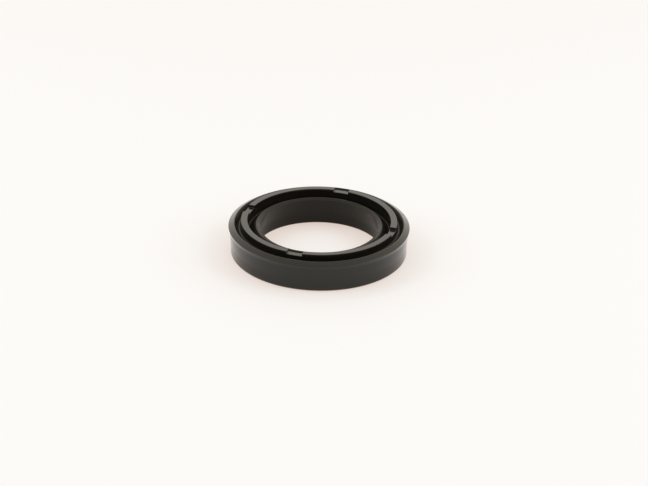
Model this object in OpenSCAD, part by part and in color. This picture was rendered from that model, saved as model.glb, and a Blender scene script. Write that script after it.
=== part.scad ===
// Lip seal for a hydraulic piston: one moulded rubber ring whose section stands like the letter E
// on its back, with a heel, an outer lip, an inner lip and a notched rib between the two lips.
// The ring lies on its heel: the bottom face is z = 0 and the axis of the ring is Z.

/* [Housing] */
// Diameter of the cylinder bore that the outer lip seals against
cylinder_bore_d = 63; // [40:1:120]
// Radial depth of the piston groove that the seal sits in
groove_depth = 10; // [9:0.1:14]

/* [Heel] */
// Radial gap between the heel and the cylinder bore
heel_gap_out = 0.15; // [0.05:0.05:0.5]
// Radial gap between the heel and the floor of the piston groove
heel_gap_in = 0.5; // [0.1:0.05:0.8]
// Height at which the straight heel ends and the lips begin to spread
heel_h = 4; // [2.5:0.1:5.5]
// Radius of the two bottom corners of the heel
heel_round = 0.8; // [0.2:0.05:1.2]

/* [Lips] */
// How far the free outer lip stands proud of the cylinder bore, on the radius
outer_squeeze = 0.6; // [0.2:0.05:1.2]
// How far the free inner lip stands proud of the groove floor, on the radius
inner_squeeze = 0.73; // [0.2:0.01:1.2]
// Height of the sealing edge of the outer lip
outer_edge_z = 9.9; // [8.5:0.05:11]
// Height of the sealing edge of the inner lip
inner_edge_z = 9.65; // [8.5:0.05:11]
// Radial width of the bevel from the outer sealing edge up to the crest
outer_bevel_w = 2; // [1.2:0.05:2.6]
// Radial width of the bevel from the inner sealing edge up to the crest
inner_bevel_w = 1.47; // [1:0.01:2.2]
// Slope of both bevels, in degrees from the horizontal
bevel_angle = 29; // [20:1:40]
// Radius of the blend between the straight heel and a spreading lip
spread_round = 10; // [1:0.5:14]
// Height of the flare just under the outer sealing edge
flare_h = 1.3; // [0.8:0.05:2]
// Radial width of that flare
flare_w = 0.38; // [0.25:0.01:0.5]
// Radius of the blend where the flare begins
flare_round = 4; // [1:0.5:6]

/* [Grooves] */
// Slope of the outer lip where it faces the rib, in degrees from the horizontal
outer_wall_angle = 54; // [45:1:60]
// Radius of the round floor of the outer groove
outer_floor_round = 0.7; // [0.3:0.05:1]
// Slope of the inner lip where it faces the rib, in degrees from the horizontal
inner_wall_angle = 47; // [40:1:58]
// Radius of the round floor of the inner groove
inner_floor_round = 0.5; // [0.3:0.05:0.9]

/* [Rib] */
// Height of the whole seal, up to the flat top of the rib
seal_h = 12.15; // [11.5:0.05:14]
// Thickness of the rib
rib_t = 2.2; // [1.6:0.05:2.8]

/* [Notches] */
// Number of notches that let pressure pass across the rib
notch_count = 4; // [2:1:8]
// Width of a notch
notch_w = 5.55; // [3:0.05:8]
// Depth of a notch below the top of the rib
notch_depth = 0.93; // [0.3:0.01:1.1]

/* [Hidden] */

rubber_black = "#232325";
// Spare length of a cut past the face it opens
cut_past = 1;

// Radii of the housing and of its middle
bore_r = cylinder_bore_d / 2;
groove_r = bore_r - groove_depth;
middle_r = (bore_r + groove_r) / 2;

heel_out_r = bore_r - heel_gap_out;
heel_in_r = groove_r + heel_gap_in;

outer_edge_r = bore_r + outer_squeeze;
inner_edge_r = groove_r - inner_squeeze;
outer_crest_r = outer_edge_r - outer_bevel_w;
inner_crest_r = inner_edge_r + inner_bevel_w;
outer_crest_z = outer_edge_z + outer_bevel_w * tan(bevel_angle);
inner_crest_z = inner_edge_z + inner_bevel_w * tan(bevel_angle);

rib_out_r = middle_r + rib_t / 2;
rib_in_r = middle_r - rib_t / 2;
// Heights at which the slopes of the lips would meet the rib, below the round floors
outer_foot_z = outer_crest_z - (outer_crest_r - rib_out_r) * tan(outer_wall_angle);
inner_foot_z = inner_crest_z - (rib_in_r - inner_crest_r) * tan(inner_wall_angle);

// Corner radius of an edge that stays sharp
sharp = 0;

// Corners of the section, counter-clockwise: radius, height, corner radius
SECTION = [
    [heel_in_r, 0, heel_round],
    [heel_out_r, 0, heel_round],
    [heel_out_r, heel_h, spread_round],
    [outer_edge_r - flare_w, outer_edge_z - flare_h, flare_round],
    [outer_edge_r, outer_edge_z, sharp],
    [outer_crest_r, outer_crest_z, sharp],
    [rib_out_r, outer_foot_z, outer_floor_round],
    [rib_out_r, seal_h, sharp],
    [rib_in_r, seal_h, sharp],
    [rib_in_r, inner_foot_z, inner_floor_round],
    [inner_crest_r, inner_crest_z, sharp],
    [inner_edge_r, inner_edge_z, sharp],
    [heel_in_r, heel_h, spread_round]
];

function flat(corner) = [corner.x, corner.y];
function unit(v) = v / norm(v);
function before(i) = flat(SECTION[(i + len(SECTION) - 1) % len(SECTION)]);
function after(i) = flat(SECTION[(i + 1) % len(SECTION)]);
function is_round(i) = SECTION[i][2] > sharp;
// True where the section turns inwards, as at the floor of a groove
function is_hollow(i) =
    let (here = flat(SECTION[i]), a = here - before(i), b = after(i) - here)
    a.x * b.y - a.y * b.x < 0;

// The sliver between a sharp corner of the section and the arc that rounds it
module corner_sliver(i) {
    here = flat(SECTION[i]);
    radius = SECTION[i][2];
    back = unit(before(i) - here);
    ahead = unit(after(i) - here);
    half_angle = acos(back * ahead) / 2;
    reach = radius / tan(half_angle);
    centre = here + unit(back + ahead) * radius / sin(half_angle);
    difference() {
        polygon([here, here + back * reach, centre, here + ahead * reach]);
        translate(centre) circle(radius, $fn = 96);
    }
}

// The section of the seal, with its round corners
module section() {
    corners = [0 : len(SECTION) - 1];
    difference() {
        union() {
            polygon([for (corner = SECTION) flat(corner)]);
            for (i = corners) if (is_round(i) && is_hollow(i)) corner_sliver(i);
        }
        for (i = corners) if (is_round(i) && !is_hollow(i)) corner_sliver(i);
    }
}

// The cuts across the rib, spaced evenly round the ring
module notches() {
    for (i = [0 : notch_count - 1])
        rotate(i * 360 / notch_count)
            translate([rib_in_r - cut_past, -notch_w / 2, seal_h - notch_depth])
                cube([rib_t + 2 * cut_past, notch_w, notch_depth + cut_past]);
}

module seal_ring() {
    color(rubber_black)
        difference() {
            rotate_extrude($fn = 240) section();
            notches();
        }
}

seal_ring();
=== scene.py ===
# %% [markdown]
# A piston seal, from section to studio picture
#
# The object is one moulded ring of black rubber. It rides in a groove round a hydraulic piston. Its two
# thin lips spread outwards, one against the cylinder and one against the floor of the groove. A taller
# rib stands between the lips, and four notches in the rib let the oil pass across it.
# The shape comes from a CAD model, which is loaded first and is never moved. This lesson makes a finer
# skin for it, with the soft little edge rounds of a real moulding, and gives it a rubber finish.

# %% Load the CAD model
import math

import bmesh
import bpy
from mathutils import Matrix, Vector


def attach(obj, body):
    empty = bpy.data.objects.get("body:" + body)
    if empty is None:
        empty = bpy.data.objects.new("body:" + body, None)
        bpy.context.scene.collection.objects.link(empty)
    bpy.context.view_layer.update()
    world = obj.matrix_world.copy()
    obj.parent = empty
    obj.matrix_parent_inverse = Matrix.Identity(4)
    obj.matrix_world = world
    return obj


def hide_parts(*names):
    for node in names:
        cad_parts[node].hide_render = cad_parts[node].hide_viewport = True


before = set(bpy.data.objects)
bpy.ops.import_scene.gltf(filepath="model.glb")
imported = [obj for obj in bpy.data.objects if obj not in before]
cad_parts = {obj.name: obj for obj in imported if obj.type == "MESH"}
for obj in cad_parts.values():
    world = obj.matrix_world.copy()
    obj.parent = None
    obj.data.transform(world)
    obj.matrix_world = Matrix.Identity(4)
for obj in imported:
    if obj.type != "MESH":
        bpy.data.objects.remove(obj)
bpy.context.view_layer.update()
scene = bpy.context.scene
MM = 0.001

# %% [markdown]
# Corners with a soft edge
#
# A mould is cut by a tool with a small nose, so no edge of the rubber is truly sharp. A Bevel modifier
# could round the edges afterwards, but it would treat every edge alike. Here each corner of an outline
# carries its own radius, and one helper turns the corner list into points along straight runs and arcs.
# It also sets a guard point just before and after each arc. Smooth shading blends the direction of
# neighbouring faces, and the guard points keep that blend off the wide faces.

# %% A helper that rounds the corners of an outline
DEGREES_PER_STEP = 11
FEWEST_STEPS = 4


def rounded(corners, closed, guard):
    """Points along an outline of (x, y, radius) corners. Radii and guard are in the corners' own unit."""
    points = []
    count = len(corners)
    for i, (x, y, radius) in enumerate(corners):
        here = Vector((x, y))
        if not closed and i in (0, count - 1):
            points.append(here)
            continue
        back = Vector(corners[i - 1][:2]) - here
        ahead = Vector(corners[(i + 1) % count][:2]) - here
        back.normalize()
        ahead.normalize()
        half = math.acos(max(-1.0, min(1.0, back.dot(ahead)))) / 2
        reach = radius / math.tan(half)
        centre = here + (back + ahead).normalized() * radius / math.sin(half)
        first = here + back * reach - centre
        turn = math.pi - 2 * half
        sign = 1.0 if back.x * ahead.y - back.y * ahead.x < 0 else -1.0
        steps = max(FEWEST_STEPS, round(math.degrees(turn) / DEGREES_PER_STEP))
        points.append(here + back * (reach + guard))
        for k in range(steps + 1):
            spin = Matrix.Rotation(sign * turn * k / steps, 2)
            points.append(centre + spin @ first)
        points.append(here + ahead * (reach + guard))
    return points


print("helper ready: rounded()")

# %% [markdown]
# The section of the seal
#
# Cut the ring at one place and the cut face looks like a letter E on its back. The flat heel is at the
# bottom, and its outer wall rises straight. Above it the outer lip leans out a little and flares just
# under its sealing edge. A bevel rises from that edge to the crest, and the lip falls steeply from the
# crest into a groove with a round floor. The rib, the inner groove and the inner lip follow. The sizes
# repeat those of the CAD model, in millimetres. The fine edge radii, whose names end in SOFT, are added
# here.

# %% Sizes of the section
SEAL_H = 12.15
HEEL_IN_R, HEEL_OUT_R, HEEL_H = 22.0, 31.35, 4.0
HEEL_ROUND, SPREAD_ROUND = 0.8, 10.0
OUTER_EDGE_R, OUTER_EDGE_Z, OUTER_BEVEL_W = 32.1, 9.9, 2.0
INNER_EDGE_R, INNER_EDGE_Z, INNER_BEVEL_W = 20.77, 9.65, 1.47
FLARE_W, FLARE_H, FLARE_ROUND = 0.38, 1.3, 4.0
BEVEL_SLOPE = math.tan(math.radians(29))
OUTER_WALL_SLOPE, OUTER_FLOOR_ROUND = math.tan(math.radians(54)), 0.7
INNER_WALL_SLOPE, INNER_FLOOR_ROUND = math.tan(math.radians(47)), 0.5
RIB_OUT_R, RIB_IN_R = 27.6, 25.4
EDGE_SOFT, RIB_SOFT = 0.12, 0.14
OUTER_CREST_SOFT, INNER_CREST_SOFT = 0.35, 0.6
GUARD = 0.06
outer_crest = (OUTER_EDGE_R - OUTER_BEVEL_W, OUTER_EDGE_Z + OUTER_BEVEL_W * BEVEL_SLOPE)
inner_crest = (INNER_EDGE_R + INNER_BEVEL_W, INNER_EDGE_Z + INNER_BEVEL_W * BEVEL_SLOPE)
outer_foot_z = outer_crest[1] - (outer_crest[0] - RIB_OUT_R) * OUTER_WALL_SLOPE
inner_foot_z = inner_crest[1] - (RIB_IN_R - inner_crest[0]) * INNER_WALL_SLOPE
print("crests at heights", round(outer_crest[1], 2), "and", round(inner_crest[1], 2), "mm")

# %% Corners of the section: radius from the axis, height, corner radius
SECTION = [
    (HEEL_IN_R, 0.0, HEEL_ROUND),
    (HEEL_OUT_R, 0.0, HEEL_ROUND),
    (HEEL_OUT_R, HEEL_H, SPREAD_ROUND),
    (OUTER_EDGE_R - FLARE_W, OUTER_EDGE_Z - FLARE_H, FLARE_ROUND),
    (OUTER_EDGE_R, OUTER_EDGE_Z, EDGE_SOFT),
    (*outer_crest, OUTER_CREST_SOFT),
    (RIB_OUT_R, outer_foot_z, OUTER_FLOOR_ROUND),
    (RIB_OUT_R, SEAL_H, RIB_SOFT),
    (RIB_IN_R, SEAL_H, RIB_SOFT),
    (RIB_IN_R, inner_foot_z, INNER_FLOOR_ROUND),
    (*inner_crest, INNER_CREST_SOFT),
    (INNER_EDGE_R, INNER_EDGE_Z, EDGE_SOFT),
    (HEEL_IN_R, HEEL_H, SPREAD_ROUND),
]
section_points = rounded(SECTION, closed=True, guard=GUARD)
print("section:", len(SECTION), "corners,", len(section_points), "points")

# %% [markdown]
# The notches, as stations round the ring
#
# Four notches cut across the top of the rib. A Boolean cut would leave hard edges that are difficult to
# soften. A notch is only a place where the top of the rib runs lower, so it can also be made by
# lowering points. Going once round the ring, the script needs a list of stations. Each station holds
# three numbers: how far it is along the pitch from one notch to the next, how far it lies to the side
# of the notch's middle line, and how much of the notch's depth it takes. The stations crowd together
# at the walls of the notch, so the walls come out steep, with a soft edge on top and a small fillet
# below.

# %% One wall of a notch: distance from the middle line, height, corner radius
NOTCH_COUNT = 4
NOTCH_W, NOTCH_D = 5.55, 0.93
NOTCH_EDGE, NOTCH_FILLET = 0.14, 0.16
WALL_LEAN, NOTCH_MARGIN = 0.015, 0.5
NOTCH_REACH = NOTCH_W / 2 + NOTCH_MARGIN
wall_corners = [
    (0.0, -NOTCH_D, 0.0),
    (NOTCH_W / 2 - WALL_LEAN, -NOTCH_D, NOTCH_FILLET),
    (NOTCH_W / 2 + WALL_LEAN, 0.0, NOTCH_EDGE),
    (NOTCH_REACH, 0.0, 0.0),
]
wall = rounded(wall_corners, closed=False, guard=GUARD)
print("points down one wall of a notch:", len(wall))

# %% Stations for one pitch: share of the pitch, sideways distance, share of the depth
GAP_STEPS = 64
FLOOR_STEPS = 8
half_floor = wall[1].x
floor_side = [half_floor * k / FLOOR_STEPS for k in range(FLOOR_STEPS)]
rising = [(0.0, side, 1.0) for side in floor_side]
rising += [(0.0, point.x, -point.y / NOTCH_D) for point in wall[1:]]
between = []
for k in range(1, GAP_STEPS):
    share = k / GAP_STEPS
    between.append((share, NOTCH_REACH * (1 - 2 * share), 0.0))
falling = [(1.0, -side, drop) for _, side, drop in reversed(rising[1:])]
stations = rising + between + falling
print("stations in a pitch:", len(stations), "and round the ring:", len(stations) * NOTCH_COUNT)

# %% [markdown]
# The rubber
#
# The seal is a smooth nitrile or polyurethane moulding, black all through, with a trace of brown. Its
# colour is far less telling than its shine: the skin copies the polished mould, so it mirrors the white
# studio softly and looks grey where it is seen at a flat angle. One flat black with one gloss would
# look like plastic film. So a slow noise shifts the black a little, and a second noise makes some
# patches duller, as handled rubber is. A thin clear coat stands for the film of mould wax and oil on
# the rubber. It is sharper than the rubber below it and brightens the walls where they turn away. Two
# more noises, one fine and one coarse, feed a Bump node, which gives the skin the faint unevenness of a
# moulding. All of them read Object coordinates, so nothing slides.


# %% A helper that adds a node with its settings
def add_node(tree, kind, x, y, inputs=None, **settings):
    """A new node of a tree, with its place, its inputs' values and its own settings."""
    node = tree.nodes.new(kind)
    node.location = (x, y)
    for name, value in settings.items():
        setattr(node, name, value)
    for name, value in (inputs or {}).items():
        node.inputs[name].default_value = value
    return node


print("helper ready: add_node()")

# %% Black rubber, with slow shifts of its black
rubber = bpy.data.materials.new("moulded_black_rubber")
rubber.use_nodes = True
tree = rubber.node_tree
tree.nodes.clear()
link = tree.links.new
out = add_node(tree, "ShaderNodeOutputMaterial", 900, 0)
shine = {
    "IOR": 1.3,
    "Specular Tint": (1.0, 0.94, 0.85, 1),
    "Coat IOR": 1.4,
    "Coat Roughness": 0.06,
}
skin = add_node(tree, "ShaderNodeBsdfPrincipled", 600, 0, shine)
link(skin.outputs["BSDF"], out.inputs["Surface"])

place = add_node(tree, "ShaderNodeTexCoord", -900, 0)
cloud = add_node(tree, "ShaderNodeTexNoise", -600, 250, {"Scale": 140.0, "Detail": 3.0})
tint = add_node(tree, "ShaderNodeMix", 100, 250, data_type="RGBA")
tint.inputs["A"].default_value = (0.0085, 0.0073, 0.0052, 1)
tint.inputs["B"].default_value = (0.0128, 0.0113, 0.0088, 1)
link(place.outputs["Object"], cloud.inputs["Vector"])
link(cloud.outputs["Fac"], tint.inputs["Factor"])
link(tint.outputs["Result"], skin.inputs["Base Color"])
print("finish:", rubber.name)

# %% [markdown]
# Where the film lies
#
# The outer wall, the outer lip's bevel and the top of the rib come from open, well polished faces of
# the mould, and hands and oil reach them. The bore and the two grooves are shaped by cores, which keep
# more tool marks, and they stay nearly dry. Two materials with a border between them would show a hard
# line. One mask that fades over less than a millimetre at the lips is softer. It comes from the place
# on the ring: the distance from the axis tells the bore from the rib, and distance and height together
# tell what lies down in a groove.

# %% Nodes for the mask of the film: 1 on the film, 0 in the grooves and a little in the bore
BORE_FILM = 0.2
FADE_ACROSS, FADE_DOWN = 0.4, 0.8
lips_middle = (outer_crest[0] + inner_crest[0]) / 2
lips_reach = (outer_crest[0] - inner_crest[0]) / 2


def ramp(x, y, start, end, low=0.0):
    """A node that goes from low to 1 as a length goes from start to end, in millimetres."""
    ends = {"From Min": start * MM, "From Max": end * MM, "To Min": low}
    return add_node(tree, "ShaderNodeMapRange", x, y, ends)


flat = add_node(tree, "ShaderNodeVectorMath", -700, 800, operation="MULTIPLY")
flat.inputs[1].default_value = (1, 1, 0)
from_axis = add_node(tree, "ShaderNodeVectorMath", -500, 800, operation="LENGTH")
past_bore = ramp(100, 1000, inner_crest[0], RIB_IN_R, BORE_FILM)
from_middle = add_node(tree, "ShaderNodeMath", -300, 800, operation="SUBTRACT")
from_middle.inputs[1].default_value = lips_middle * MM
away = add_node(tree, "ShaderNodeMath", -100, 800, operation="ABSOLUTE")
past_lips = ramp(100, 750, lips_reach - FADE_ACROSS, lips_reach)
upright = add_node(tree, "ShaderNodeSeparateXYZ", -100, 550)
above_lips = ramp(100, 500, outer_crest[1] - FADE_DOWN, outer_crest[1])
out_of_groove = add_node(tree, "ShaderNodeMath", 300, 650, operation="MAXIMUM")
film = add_node(tree, "ShaderNodeMath", 450, 800, operation="MULTIPLY")
print("grooves lie within", round(lips_reach, 2), "mm of the radius", round(lips_middle, 2), "mm")

# %% Join the mask's nodes
link(place.outputs["Object"], flat.inputs[0])
link(flat.outputs["Vector"], from_axis.inputs[0])
link(from_axis.outputs["Value"], past_bore.inputs["Value"])
link(from_axis.outputs["Value"], from_middle.inputs[0])
link(from_middle.outputs[0], away.inputs[0])
link(away.outputs[0], past_lips.inputs["Value"])
link(place.outputs["Object"], upright.inputs[0])
link(upright.outputs["Z"], above_lips.inputs["Value"])
link(past_lips.outputs["Result"], out_of_groove.inputs[0])
link(above_lips.outputs["Result"], out_of_groove.inputs[1])
link(past_bore.outputs["Result"], film.inputs[0])
link(out_of_groove.outputs[0], film.inputs[1])
print("film mask: 1 from the height", round(outer_crest[1], 2), "mm up")

# %% Gloss: coated and smooth on the film, bare and duller off it
FILM_COAT = 0.7
FILM_SMOOTHS = 0.25
BARE_SMOOTH, BARE_DULL = 0.39, 0.47
coat = add_node(tree, "ShaderNodeMath", 450, 450, operation="MULTIPLY")
coat.inputs[1].default_value = FILM_COAT
link(film.outputs[0], coat.inputs[0])
link(coat.outputs[0], skin.inputs["Coat Weight"])

patch = add_node(tree, "ShaderNodeTexNoise", -600, -50, {"Scale": 320.0, "Detail": 4.0})
bare_range = {"From Min": 0.35, "From Max": 0.7, "To Min": BARE_SMOOTH, "To Max": BARE_DULL}
bare = add_node(tree, "ShaderNodeMapRange", 100, -50, bare_range)
gloss = add_node(tree, "ShaderNodeMath", 350, -50, operation="MULTIPLY_ADD")
gloss.inputs[1].default_value = -FILM_SMOOTHS
link(place.outputs["Object"], patch.inputs["Vector"])
link(patch.outputs["Fac"], bare.inputs["Value"])
link(film.outputs[0], gloss.inputs[0])
link(bare.outputs["Result"], gloss.inputs[2])
link(gloss.outputs[0], skin.inputs["Roughness"])
print("roughness off the film:", BARE_SMOOTH, "to", BARE_DULL, "and less by", FILM_SMOOTHS, "on it")

# %% Faint unevenness of the moulding
SWELL_SHARE = 3.0
RELIEF_DEPTH = 0.01 * MM
grain = add_node(tree, "ShaderNodeTexNoise", -600, -350, {"Scale": 2600.0, "Detail": 2.0})
swell = add_node(tree, "ShaderNodeTexNoise", -600, -600, {"Scale": 260.0, "Detail": 1.0})
relief = add_node(tree, "ShaderNodeMath", 100, -400, operation="MULTIPLY_ADD")
relief.inputs[1].default_value = SWELL_SHARE
bump = add_node(tree, "ShaderNodeBump", 300, -350, {"Strength": 0.2, "Distance": RELIEF_DEPTH})
link(place.outputs["Object"], grain.inputs["Vector"])
link(place.outputs["Object"], swell.inputs["Vector"])
link(swell.outputs["Fac"], relief.inputs[0])
link(grain.outputs["Fac"], relief.inputs[2])
link(relief.outputs[0], bump.inputs["Height"])
link(bump.outputs["Normal"], skin.inputs["Normal"])
print("nodes in the finish:", len(tree.nodes))

# %% [markdown]
# Rolling a grid into the ring
#
# The ring follows one rule: the same section at every station. Spin or Screw would repeat the section,
# but neither knows about notches. Geometry Nodes can state the rule itself. A flat grid has one column
# for each point of the section and one row for each station. Every grid point looks up its section
# point and its station, then moves to its place on the ring. The walls of a notch are parallel, not
# radial, so a station's sideways distance becomes an angle through the arcsine of that distance over
# the radius.


# %% Two point lists that the nodes look up
def point_list(name, points):
    """An object whose mesh is nothing but the points of a list."""
    mesh = bpy.data.meshes.new(name)
    mesh.from_pydata(points, [], [])
    made = bpy.data.objects.new(name, mesh)
    scene.collection.objects.link(made)
    return made


section_list = point_list("section_list", [(p.x * MM, 0.0, p.y * MM) for p in section_points])
station_list = point_list("station_list", [(share, side * MM, drop) for share, side, drop in stations])
print("lists:", len(section_list.data.vertices), "and", len(station_list.data.vertices), "points")

# %% The node tree and its named inputs
INPUT_KINDS = {
    "Geometry": "NodeSocketGeometry",
    "Section": "NodeSocketObject",
    "Stations": "NodeSocketObject",
    "Section Points": "NodeSocketInt",
    "Stations In Pitch": "NodeSocketInt",
    "Notch Count": "NodeSocketInt",
    "Notch Depth": "NodeSocketFloat",
    "Rib Top From": "NodeSocketFloat",
    "Rubber": "NodeSocketMaterial",
}
ring_tree = bpy.data.node_groups.new("roll_section_into_ring", "GeometryNodeTree")
face = ring_tree.interface
for name, kind in INPUT_KINDS.items():
    face.new_socket(name, in_out="INPUT", socket_type=kind)
face.new_socket("Geometry", in_out="OUTPUT", socket_type="NodeSocketGeometry")
given = add_node(ring_tree, "NodeGroupInput", -2200, 0)
result = add_node(ring_tree, "NodeGroupOutput", 2400, 0)
join = ring_tree.links.new
print("tree:", ring_tree.name, "with", len(face.items_tree), "sockets")


# %% A helper for the tree's sums
def math_node(operation, x, y, *terms):
    """The output of a Math node whose terms are other nodes' outputs or plain numbers."""
    node = add_node(ring_tree, "ShaderNodeMath", x, y, operation=operation)
    for socket, term in zip(node.inputs, terms):
        if isinstance(term, (int, float)):
            socket.default_value = term
        else:
            join(term, socket)
    return node.outputs[0]


print("helper ready: math_node()")

# %% A flat grid, one cell to a unit
across = given.outputs["Section Points"]
in_pitch = given.outputs["Stations In Pitch"]
around = math_node("MULTIPLY", -1900, -200, in_pitch, given.outputs["Notch Count"])
grid = add_node(ring_tree, "GeometryNodeMeshGrid", -1500, 200)
join(across, grid.inputs["Size X"])
join(around, grid.inputs["Size Y"])
join(math_node("ADD", -1700, 300, across, 1), grid.inputs["Vertices X"])
join(math_node("ADD", -1700, 100, around, 1), grid.inputs["Vertices Y"])
print("grid:", len(section_points), "by", len(stations) * NOTCH_COUNT, "cells")

# %% Column, row and pitch of each grid point
spot = add_node(ring_tree, "GeometryNodeInputPosition", -1700, -500)
spot_xyz = add_node(ring_tree, "ShaderNodeSeparateXYZ", -1500, -500)
join(spot.outputs[0], spot_xyz.inputs[0])
half_across = math_node("MULTIPLY", -1500, -300, across, 0.5)
half_around = math_node("MULTIPLY", -1500, -700, around, 0.5)
from_first_column = math_node("ADD", -1300, -300, spot_xyz.outputs["X"], half_across)
from_first_row = math_node("ADD", -1300, -700, spot_xyz.outputs["Y"], half_around)
grid_column = math_node("ROUND", -1100, -300, from_first_column)
grid_row = math_node("ROUND", -1100, -700, from_first_row)
column = math_node("FLOORED_MODULO", -900, -300, grid_column, across)
row = math_node("FLOORED_MODULO", -900, -700, grid_row, in_pitch)
pitches_passed = math_node("DIVIDE", -900, -900, grid_row, in_pitch)
pitch_index = math_node("FLOOR", -700, -900, pitches_passed)
print("nodes so far:", len(ring_tree.nodes))


# %% Look up the section point and the station
def look_up(list_socket, index, x, y):
    """The three numbers that a point list holds at an index."""
    source = add_node(ring_tree, "GeometryNodeObjectInfo", x, y)
    sample = add_node(ring_tree, "GeometryNodeSampleIndex", x + 250, y, data_type="FLOAT_VECTOR")
    where = add_node(ring_tree, "GeometryNodeInputPosition", x, y - 250)
    parts = add_node(ring_tree, "ShaderNodeSeparateXYZ", x + 500, y)
    join(given.outputs[list_socket], source.inputs["Object"])
    join(source.outputs["Geometry"], sample.inputs["Geometry"])
    join(where.outputs[0], sample.inputs["Value"])
    join(index, sample.inputs["Index"])
    join(sample.outputs["Value"], parts.inputs[0])
    return parts.outputs


radius, _, height = look_up("Section", column, -500, 300)
pitch_share, sideways, depth_share = look_up("Stations", row, -500, -500)
print("look-ups: section and stations")

# %% Angle round the ring, and the lowering in a notch
pitch_angle = math_node("DIVIDE", 300, -900, math.tau, given.outputs["Notch Count"])
pitches_along = math_node("ADD", 300, -700, pitch_index, pitch_share)
along = math_node("MULTIPLY", 500, -900, pitches_along, pitch_angle)
lean = math_node("ARCSINE", 500, -500, math_node("DIVIDE", 300, -500, sideways, radius))
angle = math_node("ADD", 700, -700, along, lean)
is_top = math_node("GREATER_THAN", 300, 100, height, given.outputs["Rib Top From"])
depth = math_node("MULTIPLY", 300, -100, depth_share, given.outputs["Notch Depth"])
lowering = math_node("MULTIPLY", 500, 0, depth, is_top)

cosine = math_node("COSINE", 850, -200, angle)
sine = math_node("SINE", 850, -400, angle)
target = add_node(ring_tree, "ShaderNodeCombineXYZ", 1200, -300)
join(math_node("MULTIPLY", 1000, -200, radius, cosine), target.inputs["X"])
join(math_node("MULTIPLY", 1000, -400, radius, sine), target.inputs["Y"])
join(math_node("SUBTRACT", 1000, 0, height, lowering), target.inputs["Z"])
print("nodes so far:", len(ring_tree.nodes))

# %% The finished ring
SEW_WITHIN = 0.001 * MM
rolled = add_node(ring_tree, "GeometryNodeSetPosition", 1400, 200)
sewn = add_node(ring_tree, "GeometryNodeMergeByDistance", 1600, 200, {"Distance": SEW_WITHIN})
smooth = add_node(ring_tree, "GeometryNodeSetShadeSmooth", 1800, 200)
real = add_node(ring_tree, "GeometryNodeRealizeInstances", 2000, 200)
dressed = add_node(ring_tree, "GeometryNodeSetMaterial", 2200, 200)
join(grid.outputs["Mesh"], rolled.inputs["Geometry"])
join(target.outputs[0], rolled.inputs["Position"])
join(rolled.outputs[0], sewn.inputs["Geometry"])
join(sewn.outputs[0], smooth.inputs[0])
join(smooth.outputs[0], real.inputs["Geometry"])
join(real.outputs[0], dressed.inputs["Geometry"])
join(given.outputs["Rubber"], dressed.inputs["Material"])
join(dressed.outputs[0], result.inputs["Geometry"])
print("nodes in the tree:", len(ring_tree.nodes))

# %% [markdown]
# From node tree to plain mesh
#
# The tree hangs on an empty helper object as a modifier. Its inputs are set by the identifiers of the
# sockets, which stay the same when a socket is renamed. The evaluated result is then copied into a
# plain mesh, and the helper objects go. The plain ring takes the place of the CAD ring and stays where
# that is. The signed volume tells whether the faces point outwards.

# %% Roll the ring and keep it as a plain mesh
identifiers = {item.name: item.identifier for item in face.items_tree if item.in_out == "INPUT"}
maker = point_list("ring_maker", [])
rolling = maker.modifiers.new("roll", "NODES")
rolling.node_group = ring_tree
ring_inputs = {
    "Section": section_list,
    "Stations": station_list,
    "Section Points": len(section_points),
    "Stations In Pitch": len(stations),
    "Notch Count": NOTCH_COUNT,
    "Notch Depth": NOTCH_D * MM,
    "Rib Top From": (SEAL_H - RIB_SOFT - 2 * GUARD) * MM,
    "Rubber": rubber,
}
for name, value in ring_inputs.items():
    rolling[identifiers[name]] = value
evaluated = maker.evaluated_get(bpy.context.evaluated_depsgraph_get())
ring_mesh = bpy.data.meshes.new_from_object(evaluated)
ring_mesh.name = "seal_ring_skin"
for helper in (maker, section_list, station_list):
    bpy.data.objects.remove(helper)
print("ring mesh:", len(ring_mesh.vertices), "points")

# %% Faces outwards, every edge closed
shell = bmesh.new()
shell.from_mesh(ring_mesh)
if shell.calc_volume(signed=True) < 0:
    bmesh.ops.reverse_faces(shell, faces=shell.faces)
    shell.to_mesh(ring_mesh)
volume = shell.calc_volume(signed=True) / MM**3
open_edges = sum(1 for edge in shell.edges if len(edge.link_faces) != 2)
shell.free()
print("ring volume in mm3:", round(volume, 1), "open edges:", open_edges)

# %% The seal ring takes the CAD ring's place
seal_ring_skin = bpy.data.objects.new("seal_ring_skin", ring_mesh)
scene.collection.objects.link(seal_ring_skin)
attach(seal_ring_skin, "root")
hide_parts("seal_ring")
print("seal ring:", len(ring_mesh.polygons), "faces")
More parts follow.
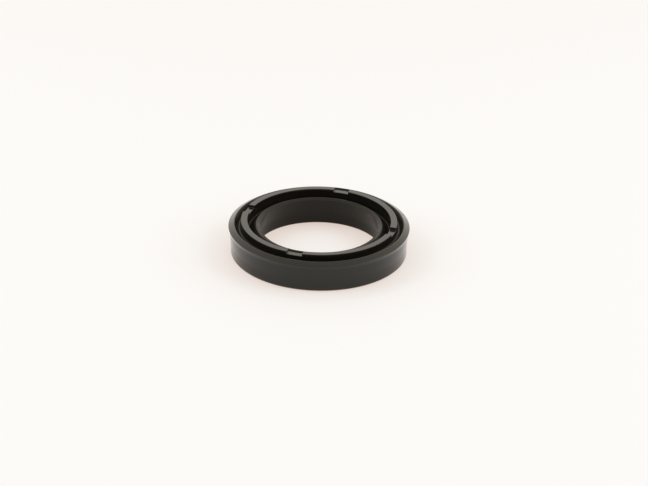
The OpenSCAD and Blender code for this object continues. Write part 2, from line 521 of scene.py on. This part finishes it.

# %% [markdown]
# The floor
#
# The seal lies on a plain white table that runs on out of the picture. One large plane is enough, a
# hair below the heel, because two faces at the very same height would flicker through each other. A
# strong lamp could bleach the table until its shadows fade, but it would also wash out the rubber. So
# the table is matt and pale, and a glow makes up about half of what the camera sees of it. A Light Path
# node switches that glow on for camera, mirror and glass rays only, so it adds no diffuse light to the
# seal, and the paint keeps the soft contact shadow. The glow is a little pink and the paint a little
# blue. Together they make white in the open, and in a shadow the glow is left over, so the shadow looks
# warm.

# %% Pale table paint
GLOW_SHARE = 0.45
table_paint = bpy.data.materials.new("pale_table")
table_paint.use_nodes = True
table_tree = table_paint.node_tree
table_link = table_tree.links.new
table_skin = table_tree.nodes["Principled BSDF"]
table_skin.inputs["Base Color"].default_value = (0.58, 0.81, 0.97, 1)
table_skin.inputs["Roughness"].default_value = 0.8
table_skin.inputs["Specular IOR Level"].default_value = 0.2
seen = add_node(table_tree, "ShaderNodeLightPath", -600, 300)
mirrored = add_node(table_tree, "ShaderNodeMath", -400, 300, operation="MAXIMUM")
any_seen = add_node(table_tree, "ShaderNodeMath", -200, 300, operation="MAXIMUM")
part = add_node(table_tree, "ShaderNodeMath", 0, 300, operation="MULTIPLY")
part.inputs[1].default_value = GLOW_SHARE
pink_white = {"Color": (1.37, 1.065, 0.888, 1), "Strength": 1.0}
table_glow = add_node(table_tree, "ShaderNodeEmission", 0, -300, pink_white)
blend = add_node(table_tree, "ShaderNodeMixShader", 300, 100)
table_link(seen.outputs["Is Glossy Ray"], mirrored.inputs[0])
table_link(seen.outputs["Is Transmission Ray"], mirrored.inputs[1])
table_link(mirrored.outputs[0], any_seen.inputs[0])
table_link(seen.outputs["Is Camera Ray"], any_seen.inputs[1])
table_link(any_seen.outputs[0], part.inputs[0])
table_link(part.outputs[0], blend.inputs["Fac"])
table_link(table_skin.outputs["BSDF"], blend.inputs[1])
table_link(table_glow.outputs["Emission"], blend.inputs[2])
table_link(blend.outputs[0], table_tree.nodes["Material Output"].inputs["Surface"])
print("table paint:", table_paint.name, "with", len(table_tree.nodes), "nodes")

# %% The table
FLOOR_HALF = 12.0
FLOOR_DROP = 0.01 * MM
floor_mesh = bpy.data.meshes.new("floor")
corner_signs = [(-1, -1), (1, -1), (1, 1), (-1, 1)]
floor_corners = [(x * FLOOR_HALF, y * FLOOR_HALF, -FLOOR_DROP) for x, y in corner_signs]
floor_mesh.from_pydata(floor_corners, [], [(0, 1, 2, 3)])
floor_mesh.materials.append(table_paint)
floor = bpy.data.objects.new("floor", floor_mesh)
scene.collection.objects.link(floor)
print("floor:", 2 * FLOOR_HALF, "m square")

# %% [markdown]
# The light
#
# Black rubber shows almost nothing but reflections, so the surroundings draw the picture. The world is
# a white room that is brighter behind the seal than on the camera's side: the top of the rib mirrors
# the bright back wall, and the grooves mirror the dim front. A picture of a real room could do this
# too, but two Map Range numbers are easier to read and change. Two soft boxes stand to the left and
# right, the right one stronger. A small hard lamp would leave a glaring dot on every edge.

# %% White room, brighter at the back and a little at the right
CAMERA_TURN = 17.5
RIGHT_GAIN = 0.08
scene.view_settings.view_transform = "Standard"
room = bpy.data.worlds.new("white_room")
room.use_nodes = True
scene.world = room
room_tree = room.node_tree
room_link = room_tree.links.new
glow = room_tree.nodes["Background"]
glow.inputs["Color"].default_value = (1.0, 0.94, 0.85, 1)
outlook = add_node(room_tree, "ShaderNodeTexCoord", -900, 0)
turned = add_node(room_tree, "ShaderNodeMapping", -700, 0)
turned.inputs["Rotation"].default_value = (0, 0, math.radians(-CAMERA_TURN))
room_xyz = add_node(room_tree, "ShaderNodeSeparateXYZ", -500, 0)
depth_range = {"From Min": -0.9, "From Max": 0.9, "To Min": 0.5, "To Max": 1.27}
front_to_back = add_node(room_tree, "ShaderNodeMapRange", -300, 0, depth_range)
left_to_right = add_node(room_tree, "ShaderNodeMath", -100, 0, operation="MULTIPLY_ADD")
left_to_right.inputs[1].default_value = RIGHT_GAIN
room_link(outlook.outputs["Generated"], turned.inputs["Vector"])
room_link(turned.outputs["Vector"], room_xyz.inputs[0])
room_link(room_xyz.outputs["Y"], front_to_back.inputs["Value"])
room_link(room_xyz.outputs["X"], left_to_right.inputs[0])
room_link(front_to_back.outputs["Result"], left_to_right.inputs[2])
room_link(left_to_right.outputs[0], glow.inputs["Strength"])
print("world:", room.name)


# %% Two soft boxes
def soft_box(name, turn, lift, distance, size, power):
    """A square lamp that looks at the seal, placed by its turn from the camera's side and its lift."""
    data = bpy.data.lights.new(name, "AREA")
    data.size = size
    data.energy = power
    lamp = bpy.data.objects.new(name, data)
    a, e = math.radians(turn + CAMERA_TURN), math.radians(lift)
    towards = Vector((math.sin(a) * math.cos(e), -math.cos(a) * math.cos(e), math.sin(e)))
    lamp.location = towards * distance
    lamp.rotation_euler = lamp.location.to_track_quat("Z", "Y").to_euler()
    scene.collection.objects.link(lamp)
    return lamp


right_box = soft_box("right_box", turn=85, lift=35, distance=0.8, size=0.5, power=1.6)
left_box = soft_box("left_box", turn=-85, lift=35, distance=0.8, size=0.5, power=1.45)
print("lamps:", right_box.name, "and", left_box.name)

# %% [markdown]
# The camera
#
# The picture was taken from in front and a little above, with a long lens, so the ring shows almost no
# perspective. Distance, height, turn and tilt were fitted to the ellipses of the ring's edges.

# %% Camera
CAMERA_LIFT = math.radians(26.72)
CAMERA_ROLL = math.radians(1.17)
CAMERA_DISTANCE = 717.8 * MM
SHIFT_X, SHIFT_Y = -1.88 * MM, -5.765 * MM
camera_data = bpy.data.cameras.new("camera")
camera_data.sensor_width = 36
camera_data.lens = 111.1
camera_data.clip_end = 20
camera = bpy.data.objects.new("camera", camera_data)
scene.collection.objects.link(camera)
ground_distance = CAMERA_DISTANCE * math.cos(CAMERA_LIFT)
stand = Vector((-SHIFT_X, -ground_distance - SHIFT_Y, CAMERA_DISTANCE * math.sin(CAMERA_LIFT)))
camera.matrix_world = (
    Matrix.Rotation(math.radians(CAMERA_TURN), 4, "Z")
    @ Matrix.Translation(stand)
    @ Matrix.Rotation(math.pi / 2 - CAMERA_LIFT, 4, "X")
    @ Matrix.Rotation(CAMERA_ROLL, 4, "Z")
)
scene.camera = camera
print("camera at", [round(x, 3) for x in camera.matrix_world.translation])
